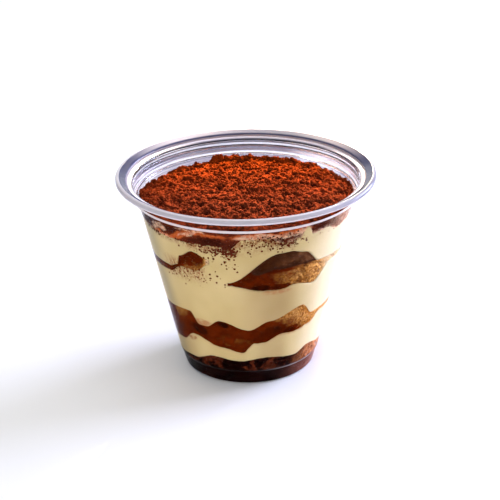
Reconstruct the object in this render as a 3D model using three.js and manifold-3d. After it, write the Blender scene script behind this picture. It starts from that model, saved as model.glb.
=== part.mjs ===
// Tiramisu in a clear plastic dessert cup: coffee-soaked ladyfingers layered with mascarpone cream under a
// thick dusting of cocoa. Millimetres, +Z up, origin at the centre of the cup's base, front toward -Y.
// Angles round the cup are degrees from the front, growing toward +X.

import * as THREE from 'three';
import { mergeVertices } from 'three/addons/utils/BufferGeometryUtils.js';
import Module from 'manifold-3d';

const wasm = await Module();
wasm.setup();

// Driving dimensions
const RIM_RADIUS = 47.5;        // outside of the rim, for a 95 mm lid
const CUP_HEIGHT = 75.1;
const SHEET = 0.6;              // thickness of the plastic
const FOOT_RADIUS = 24.3;       // outside of the foot, at its lower corner
const HEEL_HEIGHT = 1.2;        // up to here that corner is rounded
const FOOT_TOP_RADIUS = 25.8;
const FOOT_HEIGHT = 6.3;        // up to the small step where the tapered wall begins
const STEP_RISE = 0.6;
const WALL_FOOT_RADIUS = 26.2;
const FLARE_RADIUS = 38.25;     // the straight taper ends here, and the wall flares up to the ledge
const FLARE_HEIGHT = 60;
const SHOULDER_RADIUS = 39.2;
const SHOULDER_HEIGHT = 64;
const WALL_TOP_RADIUS = 40.1;
const LEDGE_HEIGHT = 66.9;      // stacking ledge, at the top of the tapered wall
const LEDGE_RISE = 1.2;         // from the ledge's inner corner to the collar
const COLLAR_RADIUS = 41.8;     // upright collar between the stacking ledge and the rim
const COLLAR_FLARE = 0.2;
const COLLAR_TOP = 72.3;
const LID_RING_HEIGHT = 70.9;   // middle of the ring in the collar that a lid snaps over
const LID_RING_DEPTH = 0.4;
const LID_RING_HALF_WIDTH = 0.7;
const SEAT_RISE = 0.5;          // the lid seat slopes up this far from the collar to the rim
const FLANGE_WIDTH = 3.5;       // sloping flange outside the seat, with its lip
const FLANGE_STEP = 0.4;        // run of the short steep step from the seat up to the flange
const FLANGE_DROP = 1.4;        // the flange starts this far below the top of the cup
const LIP_RADIUS = 1.15;        // outside of the lip that curls down from the flange

const CLEARANCE = 0.3;          // between the filling and the plastic, and round each ladyfinger
const LAYER_GAP = 0.15;         // each layer stops this far short of the boundary it shares
const SEGMENTS = 60;            // facets round the cup
const SYRUP_LEVEL = 6.3;
const COCOA_LEVEL = 67.1;
const COCOA_CROWN = 0.8;        // rise of the dusting from the wall to the axis
const SLUMP_REACH = 0.87;       // outside of this share of the radius the dusting has slumped

const degrees = THREE.MathUtils.radToDeg;
const radians = THREE.MathUtils.degToRad;
const point = (radius, height) => new THREE.Vector2(radius, height);

// Outside of the plastic, from the heel of the foot to the stacking ledge; the wall flares near its top.
const WALL = [
  point(FOOT_RADIUS, HEEL_HEIGHT),
  point(FOOT_TOP_RADIUS, FOOT_HEIGHT),
  point(WALL_FOOT_RADIUS, FOOT_HEIGHT + STEP_RISE),
  point(FLARE_RADIUS, FLARE_HEIGHT),
  point(SHOULDER_RADIUS, SHOULDER_HEIGHT),
  point(WALL_TOP_RADIUS, LEDGE_HEIGHT),
];

// Cup: one thermoformed sheet, drawn as the line through the middle of its thickness.

function arc(centreRadius, centreHeight, width, height, from, to, steps) {
  const points = [];
  for (let i = 0; i <= steps; i += 1) {
    const turn = radians(from + (to - from) * i / steps);
    points.push(point(centreRadius + width * Math.cos(turn), centreHeight + height * Math.sin(turn)));
  }
  return points;
}

function cupLine() {
  const half = SHEET / 2;
  const heel = HEEL_HEIGHT - half;
  const seatRadius = RIM_RADIUS - FLANGE_WIDTH - half;
  const curl = LIP_RADIUS - half;
  return [
    point(0, half),
    ...arc(FOOT_RADIUS - half - heel, HEEL_HEIGHT, heel, heel, -90, 0, 2),
    ...WALL.slice(1).map((outside) => point(outside.x - half, outside.y)),
    point(WALL_TOP_RADIUS, LEDGE_HEIGHT + LEDGE_RISE / 3),
    point(COLLAR_RADIUS - LEDGE_RISE * 2 / 3, LEDGE_HEIGHT + LEDGE_RISE / 2),
    point(COLLAR_RADIUS - half, LEDGE_HEIGHT + LEDGE_RISE),
    ...arc(COLLAR_RADIUS - half, LID_RING_HEIGHT, LID_RING_DEPTH, LID_RING_HALF_WIDTH, -60, 60, 2),
    point(COLLAR_RADIUS - half + COLLAR_FLARE, COLLAR_TOP),
    point(seatRadius, COLLAR_TOP + SEAT_RISE),
    point(seatRadius + FLANGE_STEP, CUP_HEIGHT - FLANGE_DROP),
    ...arc(RIM_RADIUS - LIP_RADIUS, CUP_HEIGHT - LIP_RADIUS, curl, curl, 110, -60, 6),
  ];
}

// The closed outline of a sheet of even thickness: out along one face of the line and back along the other.
function sheetOutline(line, thickness) {
  const offset = (side) => line.map((here, i) => {
    const before = line[Math.max(i - 1, 0)];
    const after = line[Math.min(i + 1, line.length - 1)];
    const into = (i === 0 ? after.clone().sub(here) : here.clone().sub(before)).normalize();
    const outOf = (i === line.length - 1 ? into.clone() : after.clone().sub(here).normalize());
    const along = into.add(outOf).normalize();
    const mitre = thickness / 2 / Math.max(along.dot(outOf), 0.5);
    return point(here.x + side * along.y * mitre, here.y - side * along.x * mitre);
  });
  const outer = offset(1);
  const inner = offset(-1);
  outer[0].x = 0;
  inner[0].x = 0;
  return [...outer, ...inner.reverse()];
}

function upright(geometry) {
  return geometry.rotateX(Math.PI / 2);
}

function cup() {
  return upright(new THREE.LatheGeometry(sheetOutline(cupLine(), SHEET), SEGMENTS));
}

// Filling: layers between wavy boundaries. "reach" runs from 0 on the axis to 1 at the plastic.

// Radius of the filling at a height, just inside the plastic.
function fillRadius(height) {
  const above = WALL.findIndex((outside) => outside.y >= height);
  const upper = WALL[above < 0 ? WALL.length - 1 : above];
  const lower = WALL[above < 0 ? WALL.length - 1 : Math.max(above - 1, 0)];
  const share = upper === lower ? 0 : (height - lower.y) / (upper.y - lower.y);
  return THREE.MathUtils.lerp(lower.x, upper.x, share) - SHEET - CLEARANCE;
}

// Eases between the crests and dips of an edge, each an [angle, height], sorted by angle.
function edgeHeight(crests, angle) {
  const last = crests.length - 1;
  let from = [crests[last][0] - 360, crests[last][1]];
  let to = [crests[0][0] + 360, crests[0][1]];
  for (const crest of crests) {
    if (crest[0] <= angle) from = crest;
  }
  for (const crest of [...crests].reverse()) {
    if (crest[0] > angle) to = crest;
  }
  return THREE.MathUtils.lerp(from[1], to[1], THREE.MathUtils.smoothstep(angle, from[0], to[0]));
}

// A boundary between two layers: level on the axis, wavy where it meets the plastic.
function boundary(middle, crests) {
  return (angle, reach) => THREE.MathUtils.lerp(middle, edgeHeight(crests, angle), reach ** 3);
}

const spongeBaseTop = boundary(10.5, [
  [-165, 10.4], [-125, 12], [-75, 7.3], [-50, 8.7], [-28, 12], [-8, 10.9], [12, 12.2], [38, 10.6],
  [52, 12.9], [70, 11], [100, 9.6], [140, 12.4],
]);
const spongeMiddleUnderside = boundary(17.5, [
  [-160, 20.5], [-110, 15], [-78, 13.6], [-60, 15], [-44, 19.8], [-20, 16.5], [-5, 14.7], [4, 19],
  [10, 19], [24, 22], [33, 21.6], [48, 22.8], [58, 26.1], [80, 25.6], [115, 19], [150, 16.5],
]);
const spongeMiddleTop = boundary(28, [
  [-170, 30], [-125, 26.2], [-75, 28.2], [-43, 30], [-37, 25.1], [-31, 25.1], [-20, 28.6], [0, 25],
  [14, 28.5], [38, 32.6], [49, 27.4], [75, 27.6], [105, 31], [145, 26.5],
]);
const creamTop = boundary(65, [
  [-170, 63.4], [-130, 61.6], [-95, 63], [-64, 60.8], [-48, 60.6], [-15, 60.9], [-10, 60], [-2, 64.2],
  [9, 64.2], [21, 61.4], [29, 62.6], [33.5, 66.4], [37.5, 62.7], [48, 63.1], [56, 60.9], [85, 62.4],
  [120, 60.8], [155, 64],
]);

// Low mounds of powder, spread over the surface by the golden angle.
const MOUNDS = 22;
const MOUND_HEIGHT = 0.75;
const MOUND_SPREAD = 5.5;
const GOLDEN_ANGLE = 137.508;

// Where the powder stops at the plastic, against its level: it has slumped at the back.
const cocoaEdge = [
  [-175, 0.2], [-170, -0.6], [-163, 0.1], [-155, -1.5], [-145, -1.9], [-137, -1.1], [-122, -2.3],
  [-112, -0.9], [-90, -0.2], [0, -0.2], [100, -0.4], [110, -0.9], [121, -1], [128, -2], [138, -0.7],
  [145, -1.4], [150, -0.7], [157, -1.3], [172, -0.6],
];

function cocoaTop(angle, reach) {
  const radius = reach * WALL_TOP_RADIUS;
  const x = radius * Math.sin(radians(angle));
  const y = -radius * Math.cos(radians(angle));
  const slump = edgeHeight(cocoaEdge, angle) * THREE.MathUtils.smoothstep(reach, SLUMP_REACH, 1);
  let height = COCOA_LEVEL + COCOA_CROWN * (1 - reach ** 2) + slump;
  for (let i = 1; i <= MOUNDS; i += 1) {
    const out = WALL_TOP_RADIUS * Math.sqrt((i - 0.5) / MOUNDS);
    const turn = radians(i * GOLDEN_ANGLE);
    const away = Math.hypot(x - out * Math.sin(turn), y + out * Math.cos(turn));
    height += MOUND_HEIGHT * Math.sin(i * 2.4) * Math.exp(-((away / MOUND_SPREAD) ** 2));
  }
  return height;
}

const flat = (height) => () => height;

// A full layer: a lathed disc whose two faces are then lifted onto their boundaries. Its upper quads are
// split along the other diagonal, so that the two layers at a boundary have the same triangles there.
function layer(underside, top, undersideRings, topRings) {
  const profile = [
    ...undersideRings.map((reach) => point(reach, 0)),
    ...[...topRings].reverse().map((reach) => point(reach, 1)),
  ];
  const geometry = upright(new THREE.LatheGeometry(profile, SEGMENTS));
  const index = geometry.getIndex();
  for (let i = 0; i < index.count; i += 6) {
    const [a, b, d, c] = [0, 1, 2, 3].map((corner) => index.getX(i + corner));
    if (a % profile.length >= undersideRings.length) {
      [a, b, c, a, c, d].forEach((vertex, corner) => index.setX(i + corner, vertex));
    }
  }
  const position = geometry.getAttribute('position');
  for (let i = 0; i < position.count; i += 1) {
    const reach = Math.hypot(position.getX(i), position.getY(i));
    const turn = Math.atan2(position.getX(i), -position.getY(i));
    const low = underside(degrees(turn), reach) + LAYER_GAP;
    const high = top(degrees(turn), reach) - LAYER_GAP;
    const height = THREE.MathUtils.lerp(low, high, position.getZ(i));
    const radius = reach * fillRadius(height);
    position.setXYZ(i, radius * Math.sin(turn), -radius * Math.cos(turn), height);
  }
  return geometry;
}

const COARSE = [0, 0.45, 0.8, 1];
const FINE = [0, 0.12, 0.24, 0.36, 0.48, 0.6, 0.72, 0.82, 0.91, 1];

// Ladyfingers of the upper layer: each lies against the plastic over an arc and fills out toward the middle.

const FINGER_LOW = 44.5;
const FINGER_HIGH = 55.5;
const FINGER_INNER_REACH = 0.25;

const leftFinger = {
  from: -172,
  to: -22,
  top: [
    [-172, 48.8], [-150, 55], [-110, 56], [-72, 47.4], [-52, 47.8], [-45, 49.6], [-41.5, 54], [-32, 57.2],
    [-22, 54.8],
  ],
  underside: [
    [-172, 47.6], [-140, 45], [-100, 43.6], [-72, 44.8], [-54, 45.4], [-41, 49.6], [-32, 49.2], [-22, 53],
  ],
};
const rightFinger = {
  from: -12,
  to: 164,
  top: [
    [-12, 45.6], [18, 57.3], [25, 57.4], [34, 55.8], [46, 50], [68, 48.8], [112, 56.4], [148, 54.6],
    [164, 48.6],
  ],
  underside: [
    [-12, 44.6], [10, 42.2], [20, 42], [30, 43], [44, 41.2], [56, 47.2], [68, 47.4], [110, 42.8],
    [150, 44.4], [164, 47.4],
  ],
};

// A box bent round the axis. "ease" swells it on every side, for the pocket it lies in.
function finger(shape, ease) {
  const span = shape.to - shape.from;
  const length = radians(span) * fillRadius(FINGER_LOW);
  const depth = (1 - FINGER_INNER_REACH) * fillRadius(FINGER_LOW);
  const geometry = mergeVertices(bare(new THREE.BoxGeometry(1, 1, 1, Math.round(span / 6), 5, 1)));
  const position = geometry.getAttribute('position');
  for (let i = 0; i < position.count; i += 1) {
    const along = 0.5 + position.getX(i) * (1 + 2 * ease / length);
    const outward = 0.5 - position.getY(i) * (1 + 2 * ease / depth);
    const turn = radians(shape.from + span * along);
    const reach = THREE.MathUtils.lerp(FINGER_INNER_REACH, 1, outward);
    const ends = Math.sqrt(Math.max(Math.sin(Math.PI * along), 0));
    const fullness = ends * (1 - THREE.MathUtils.smoothstep(reach, 0.6, 1));
    const low = THREE.MathUtils.lerp(edgeHeight(shape.underside, degrees(turn)), FINGER_LOW, fullness);
    const high = THREE.MathUtils.lerp(edgeHeight(shape.top, degrees(turn)), FINGER_HIGH, fullness);
    const rounding = Math.sqrt(1 - 0.75 * (1 - outward) ** 4);
    const thickness = (high - low) * rounding + 2 * ease;
    const height = (low + high) / 2 + thickness * position.getZ(i);
    const radius = reach * fillRadius(height);
    position.setXYZ(i, radius * Math.sin(turn), -radius * Math.cos(turn), height);
  }
  return geometry;
}

// Booleans

function bare(geometry) {
  geometry.deleteAttribute('normal');
  geometry.deleteAttribute('uv');
  return geometry;
}

function solid(geometry) {
  const merged = mergeVertices(bare(geometry.clone()));
  return new wasm.Manifold(new wasm.Mesh({
    numProp: 3,
    vertProperties: new Float32Array(merged.getAttribute('position').array),
    triVerts: new Uint32Array(merged.getIndex().array),
  }));
}

function cut(body, tools) {
  const result = tools.reduce((rest, tool) => rest.subtract(solid(tool)), solid(body)).getMesh();
  const geometry = new THREE.BufferGeometry();
  geometry.setAttribute('position', new THREE.BufferAttribute(result.vertProperties, 3));
  geometry.setIndex(new THREE.BufferAttribute(result.triVerts, 1));
  geometry.computeVertexNormals();
  return geometry;
}

// Assembly, from the plastic inward and from the base up

const clearPlastic = new THREE.MeshStandardMaterial({
  color: 0xc9c8dc, roughness: 0.06, metalness: 0, transparent: true, opacity: 0.3,
});
const coffee = new THREE.MeshStandardMaterial({ color: 0x1c0603, roughness: 0.2, metalness: 0 });
const soakedSponge = new THREE.MeshStandardMaterial({ color: 0x3a140a, roughness: 0.6, metalness: 0 });
const sponge = new THREE.MeshStandardMaterial({ color: 0x7a3c14, roughness: 0.75, metalness: 0 });
const cream = new THREE.MeshStandardMaterial({ color: 0xe9d3a4, roughness: 0.4, metalness: 0 });
const cocoaPowder = new THREE.MeshStandardMaterial({ color: 0x8a3413, roughness: 0.95, metalness: 0 });

const tiramisu = new THREE.Group();

function add(name, geometry, material) {
  const mesh = new THREE.Mesh(geometry, material);
  mesh.name = name;
  tiramisu.add(mesh);
}

const pockets = [finger(leftFinger, CLEARANCE), finger(rightFinger, CLEARANCE)];
const upperCream = layer(spongeMiddleTop, creamTop, COARSE, COARSE);

add('cup', cup(), clearPlastic);
add('coffee_syrup', layer(flat(SHEET + CLEARANCE - LAYER_GAP), flat(SYRUP_LEVEL), [0, 1], [0, 1]), coffee);
add('sponge_base', layer(flat(SYRUP_LEVEL), spongeBaseTop, [0, 1], COARSE), soakedSponge);
add('cream_lower', layer(spongeBaseTop, spongeMiddleUnderside, COARSE, COARSE), cream);
add('sponge_middle', layer(spongeMiddleUnderside, spongeMiddleTop, COARSE, COARSE), sponge);
add('cream_upper', cut(upperCream, pockets), cream);
add('finger_left', finger(leftFinger, 0), sponge);
add('finger_right', finger(rightFinger, 0), sponge);
add('cocoa', layer(creamTop, cocoaTop, COARSE, FINE), cocoaPowder);

export default tiramisu;
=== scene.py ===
# Tiramisu in a clear plastic cup: soaked ladyfingers and mascarpone cream in layers, under cocoa powder.
# Metres, +Z up, standing on the origin, front toward -Y. Angles round the cup are degrees from the front,
# growing toward +X, and "reach" runs from 0 on the cup's axis to 1 at its wall.

import math
import random
from functools import lru_cache

import bmesh
import bpy
from mathutils import Euler, Matrix, Vector, noise


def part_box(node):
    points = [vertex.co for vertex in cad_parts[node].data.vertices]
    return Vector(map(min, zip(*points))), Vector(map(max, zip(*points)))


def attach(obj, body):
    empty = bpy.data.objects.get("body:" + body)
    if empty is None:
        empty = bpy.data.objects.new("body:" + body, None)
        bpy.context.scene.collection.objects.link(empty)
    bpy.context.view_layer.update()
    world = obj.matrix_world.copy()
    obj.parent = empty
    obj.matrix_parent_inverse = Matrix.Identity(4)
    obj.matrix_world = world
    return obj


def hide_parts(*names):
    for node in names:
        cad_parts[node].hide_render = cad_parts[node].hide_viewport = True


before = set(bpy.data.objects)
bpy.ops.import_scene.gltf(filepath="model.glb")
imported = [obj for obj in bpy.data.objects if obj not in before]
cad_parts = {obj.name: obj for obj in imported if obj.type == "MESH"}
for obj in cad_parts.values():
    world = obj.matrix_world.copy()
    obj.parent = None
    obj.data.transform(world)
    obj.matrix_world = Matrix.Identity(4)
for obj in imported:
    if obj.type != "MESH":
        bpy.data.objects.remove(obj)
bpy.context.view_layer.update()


# ---------------------------------------------------------------------------------------------------------
# The cup: one sheet of clear plastic, drawn warm over a mould. It has a stepped foot, a tapered wall, a
# ledge that stops stacked cups from jamming, a collar with a lid ring, and a flange with a curled lip.

MM = 0.001
SHEET = 0.6 * MM
CUP_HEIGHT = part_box("cup")[1].z
RIM_RADIUS = 47.5 * MM
LIP_RADIUS = 1.15 * MM
LEDGE_HEIGHT = 66.8 * MM
SEAT_HEIGHT = 72.4 * MM
BEND_ROUNDING = 0.25 * MM
SEGMENTS_ROUND = 192

# Outside of the plastic, from the heel of the foot to the stacking ledge, as radius and height.
WALL = [(24.3 * MM, 1.2 * MM), (25.8 * MM, 6.3 * MM), (26.2 * MM, 6.9 * MM),
        (38.25 * MM, 60 * MM), (39.2 * MM, 64 * MM), (40.1 * MM, 66.9 * MM)]

# Where the plastic is thick or sharply bent, in millimetres: lowest and highest, or innermost and outermost.
STEP_HEIGHTS = (6.3, 6.75)
STEP_MILK_HEIGHTS = (6, 7)
CORNER_HEIGHTS = (67.2, 67.6)
COLLAR_BEND_HEIGHTS = (68.0, 68.6)
COLLAR_BEND_RADIUS = 41.2
RING_HEIGHTS = (70.5, 71.3)
SEAT_RADII = (42.9, 43.9)
FLANGE_RADII = (44.3, 46.5)
CREST_RADII = (46.2, 46.9)


def curled_lip(steps):
    """The middle line of the lip: over the top of the flange's edge, and down and under at the outside."""
    start, sweep = 110, 170
    line = []
    for i in range(steps + 1):
        turn = math.radians(start - sweep * i / steps)
        line.append((RIM_RADIUS - LIP_RADIUS + (LIP_RADIUS - SHEET / 2) * math.cos(turn),
                     CUP_HEIGHT - LIP_RADIUS + (LIP_RADIUS - SHEET / 2) * math.sin(turn)))
    return line


def close_up(bm):
    """Merges the points that meet on the axis and along the seam, and turns the faces alike, outward on
    a closed shape."""
    bmesh.ops.remove_doubles(bm, verts=bm.verts, dist=1e-7)
    bmesh.ops.recalc_face_normals(bm, faces=bm.faces)


def spin_line(bm, line, steps, rounding=0.0):
    """Joins (radius, height) points into a line, rounds its corners and spins it round the axis."""
    points = [bm.verts.new((radius, 0, height)) for radius, height in line]
    for pair in zip(points, points[1:]):
        bm.edges.new(pair)
    if rounding:
        bmesh.ops.bevel(bm, geom=points[1:-1], affect="VERTICES", offset=rounding, segments=4,
                        profile=0.5, material=-1, clamp_overlap=True)
    bmesh.ops.spin(bm, geom=bm.verts[:] + bm.edges[:], cent=(0, 0, 0), axis=(0, 0, 1), dvec=(0, 0, 0),
                   angle=math.tau, steps=steps, use_merge=True)
    close_up(bm)


def shares(bm, *names):
    """Gives each vertex a value under each name, 0 until it is set, for the materials to read."""
    return [bm.verts.layers.float.new(name) for name in names]


def place(bm, name, material, slot, *nodes):
    """Turns a finished mesh into a smooth-shaded piece that stands for the nodes given."""
    mesh = bpy.data.meshes.new(name)
    bm.to_mesh(mesh)
    bm.free()
    mesh.shade_smooth()
    mesh.materials.append(material)
    piece = bpy.data.objects.new(name, mesh)
    bpy.context.scene.collection.objects.link(piece)
    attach(piece, "root")
    if nodes:
        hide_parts(*nodes)
    return piece


def speckle_group():
    """The shader nodes that every material shares: soft noise in the piece's own space, "Scale" features a
    metre along X, Y and Z. Where the noise is at or under "Low" the value is 0, at "High" it is 1."""
    group = bpy.data.node_groups.new("speckle", "ShaderNodeTree")
    for name, kind in (("Scale", "Vector"), ("Detail", "Float"), ("Roughness", "Float"), ("Low", "Float"),
                       ("High", "Float")):
        group.interface.new_socket(name, in_out="INPUT", socket_type="NodeSocket" + kind)
    group.interface.new_socket("Value", in_out="OUTPUT", socket_type="NodeSocketFloat")
    given = group.nodes.new("NodeGroupInput").outputs
    space = group.nodes.new("ShaderNodeTexCoord")
    spacing = group.nodes.new("ShaderNodeVectorMath")
    spacing.operation = "MULTIPLY"
    texture = group.nodes.new("ShaderNodeTexNoise")
    texture.inputs["Scale"].default_value = 1
    stretch = group.nodes.new("ShaderNodeMapRange")
    for output, target in ((space.outputs["Object"], spacing.inputs[0]),
                           (given["Scale"], spacing.inputs[1]),
                           (spacing.outputs["Vector"], texture.inputs["Vector"]),
                           (given["Detail"], texture.inputs["Detail"]),
                           (given["Roughness"], texture.inputs["Roughness"]),
                           (texture.outputs["Fac"], stretch.inputs["Value"]),
                           (given["Low"], stretch.inputs["From Min"]),
                           (given["High"], stretch.inputs["From Max"]),
                           (stretch.outputs["Result"], group.nodes.new("NodeGroupOutput").inputs["Value"])):
        group.links.new(output, target)
    return group


speckle = speckle_group()


class Finish:
    """A material in the making: its node tree and its Principled shader. Most calls add one node and give
    back its output."""

    def __init__(self, name):
        self.material = bpy.data.materials.new(name)
        self.material.use_nodes = True
        self.nodes = self.material.node_tree.nodes
        self.links = self.material.node_tree.links
        self.shader = self.nodes["Principled BSDF"]

    def add(self, kind, **values):
        node = self.nodes.new(kind)
        for key, value in values.items():
            setattr(node, key, value)
        return node

    def join(self, output, target):
        self.links.new(output, target)

    def position(self):
        return self.add("ShaderNodeTexCoord").outputs["Object"]

    def attribute(self, name):
        return self.add("ShaderNodeAttribute", attribute_name=name).outputs["Fac"]

    def pattern(self, scale, detail=4.0, rough=0.6, low=0.35, high=0.65):
        """The shared speckle; a single scale counts along X, Y and Z alike."""
        node = self.add("ShaderNodeGroup", node_tree=speckle)
        node.inputs["Scale"].default_value = scale if isinstance(scale, tuple) else (scale,) * 3
        for name, value in (("Detail", detail), ("Roughness", rough), ("Low", low), ("High", high)):
            node.inputs[name].default_value = value
        return node.outputs["Value"]

    def stretch(self, value, from_low, from_high, to_low, to_high):
        """Carries a value from one range over to another, and holds it at the ends."""
        node = self.add("ShaderNodeMapRange")
        node.inputs["From Min"].default_value = from_low
        node.inputs["From Max"].default_value = from_high
        node.inputs["To Min"].default_value = to_low
        node.inputs["To Max"].default_value = to_high
        self.join(value, node.inputs["Value"])
        return node.outputs["Result"]

    def combine(self, operation, a, b, clamp=True):
        node = self.add("ShaderNodeMath", operation=operation, use_clamp=clamp)
        self.join(a, node.inputs[0])
        self.join(b, node.inputs[1])
        return node.outputs[0]

    def plus(self, a, b):
        return self.combine("ADD", a, b, clamp=False)

    def times(self, a, b):
        return self.combine("MULTIPLY", a, b)

    def least(self, a, b):
        return self.combine("MINIMUM", a, b)

    def most(self, a, b):
        return self.combine("MAXIMUM", a, b)

    def blend(self, share, colour_a, colour_b):
        """The first colour where the share is 0, the second where it is 1."""
        node = self.add("ShaderNodeMix", data_type="RGBA")
        for value, index in ((share, 0), (colour_a, 6), (colour_b, 7)):
            socket = node.inputs[index]
            if isinstance(value, tuple):
                socket.default_value = (*value, 1)
            else:
                self.join(value, socket)
        return node.outputs[2]

    def bump(self, height, strength, distance):
        """Fine relief of that height in metres."""
        node = self.add("ShaderNodeBump")
        node.inputs["Strength"].default_value = strength
        node.inputs["Distance"].default_value = distance
        self.join(height, node.inputs["Height"])
        self.join(node.outputs["Normal"], self.shader.inputs["Normal"])


def bearing(spot):
    """Degrees from the front, growing toward +X."""
    return math.degrees(math.atan2(spot[0], -spot[1]))


def between(value, ends):
    return ends[0] < value < ends[1]


def ease(value, low, high):
    """0 below low, 1 above high, and a smooth step between."""
    share = min(max((value - low) / (high - low), 0), 1)
    return share * share * (3 - 2 * share)


def plastic(name, clear, index, roughness, inner_painted_shade=None):
    """Clear plastic with the faint ripple of drawn sheet, whiter where it is marked milky, partly milky
    plastic and partly painted highlight. With a pair of inner colours, plain and streaked, it is the inner
    skin of the sheet, which has them on its inside only: a grey of painted shade, and a bright painted
    highlight that is also streaked on as painted reflections. It darkens with a painted shade where it slants
    away, and greys with painted shade along its silhouette. Where "film" is 1 it neither bends nor mirrors
    the light."""
    finish = Finish(name)
    sheet = finish.shader
    sheet.inputs["Transmission Weight"].default_value = 1
    sheet.inputs["IOR"].default_value = index
    facing = finish.add("ShaderNodeLayerWeight").outputs["Facing"]
    slant = finish.least(finish.stretch(facing, 0.58, 0.73, 0, 1), finish.stretch(facing, 0.91, 0.83, 0, 1))
    # Painted shade: a blue-grey tint where the sheet slants away and is marked for it.
    painted_shade_tint = finish.times(finish.attribute("painted_shade_tint"), slant)
    colour = finish.blend(painted_shade_tint, clear, (0.50, 0.55, 0.66))
    # Painted shade: grey along the sheet's silhouette.
    colour = finish.blend(finish.stretch(facing, 0.93, 1.0, 0, 0.8), colour, (0.42, 0.41, 0.48))
    # The inner skin's colours are painted light: a grey of painted shade, and a bright painted highlight
    # where the sheet is marked milky or streaked with painted reflections.
    if inner_painted_shade:
        grey, bright = inner_painted_shade
        dust_and_reflection_streaks = finish.times(finish.attribute("dust_and_reflection_streaks"),
                               finish.pattern((25, 25, 900), low=0.42, high=0.56))
        inside = finish.blend(finish.most(finish.attribute("milk_and_highlight"), dust_and_reflection_streaks), grey, bright)
        colour = finish.blend(finish.add("ShaderNodeNewGeometry").outputs["Backfacing"], inside, colour)
    # Whiter where the sheet is marked milky: partly milky plastic and partly painted highlight.
    finish.join(finish.blend(finish.stretch(finish.attribute("milk_and_highlight"), 0, 1, 0, 0.3), colour, (1, 1, 1)),
                sheet.inputs["Base Color"])
    ripple = finish.pattern(90, detail=1)
    finish.join(finish.stretch(ripple, 0, 1, *roughness), sheet.inputs["Roughness"])
    finish.bump(ripple, 0.12, 0.0002)
    lamps = finish.add("ShaderNodeLightPath")
    pass_light = finish.add("ShaderNodeBsdfTransparent")
    either = finish.add("ShaderNodeMixShader")
    finish.join(finish.most(lamps.outputs["Is Shadow Ray"], finish.attribute("film")), either.inputs["Fac"])
    finish.join(sheet.outputs["BSDF"], either.inputs[1])
    finish.join(pass_light.outputs["BSDF"], either.inputs[2])
    finish.join(either.outputs["Shader"], finish.nodes["Material Output"].inputs["Surface"])
    return finish.material


def milky(name, base, transmission, gloss=0.5):
    """Thicker plastic of the rim and of the sharp bends, which scatters some of the light and is whiter where
    it is marked milky, partly milky plastic and partly painted highlight."""
    finish = Finish(name)
    sheet = finish.shader
    sheet.inputs["Transmission Weight"].default_value = transmission
    sheet.inputs["IOR"].default_value = 1.35
    sheet.inputs["Specular IOR Level"].default_value = gloss
    finish.join(finish.blend(finish.attribute("milk_and_highlight"), base, (0.97, 0.90, 0.94)), sheet.inputs["Base Color"])
    ripple = finish.pattern(90, detail=1)
    finish.join(finish.stretch(ripple, 0, 1, 0.15, 0.25), sheet.inputs["Roughness"])
    finish.bump(ripple, 0.12, 0.0002)
    return finish.material


# The middle line of the sheet, as radius and height.
cup_line = [
    # The flat base, the heel, the foot with its step, and the wall.
    (0, SHEET / 2),
    (WALL[0][0] - 2.5 * MM, SHEET / 2),
    (WALL[0][0] - SHEET / 2 - 0.4 * MM, SHEET / 2),
    (WALL[0][0] - SHEET / 2, 1.0 * MM),
    *[(radius - SHEET / 2, height) for radius, height in WALL[1:]],
    # The ledge, and the collar that stands on it.
    (40.1 * MM, 67.3 * MM),
    (41.0 * MM, 67.5 * MM),
    (41.5 * MM, 68.1 * MM),
    (41.5 * MM, 68.9 * MM),
    (41.5 * MM, 70.2 * MM),
    # The lid ring.
    (41.9 * MM, 70.6 * MM),
    (41.9 * MM, 71.2 * MM),
    (41.6 * MM, 71.6 * MM),
    (41.7 * MM, 72.3 * MM),
    # The lid seat, and the flange with its lip.
    (43.0 * MM, 72.62 * MM),
    (43.7 * MM, 72.8 * MM),
    (44.1 * MM, 73.7 * MM),
    (44.8 * MM, 74.07 * MM),
    *curled_lip(steps=14),
]
bm = bmesh.new()
spin_line(bm, cup_line, SEGMENTS_ROUND, rounding=BEND_ROUNDING)

# The sheet is open at the top, and its faces come out pointing into the cup.
bmesh.ops.reverse_faces(bm, faces=bm.faces)

# The order of the cup's skins. Those of the inside come after them, in the same order.
ON_WALL, ON_COLLAR, ON_RIM, ON_BEND, ON_STEP = range(5)
for face in bm.faces:
    middle = face.calc_center_median() / MM
    if between(middle.z, STEP_HEIGHTS):
        face.material_index = ON_STEP
    elif between(middle.z, COLLAR_BEND_HEIGHTS) and middle.xy.length > COLLAR_BEND_RADIUS:
        face.material_index = ON_BEND
    elif middle.z > SEAT_HEIGHT / MM:
        face.material_index = ON_RIM
    elif middle.z > LEDGE_HEIGHT / MM:
        face.material_index = ON_COLLAR
    else:
        face.material_index = ON_WALL

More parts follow.
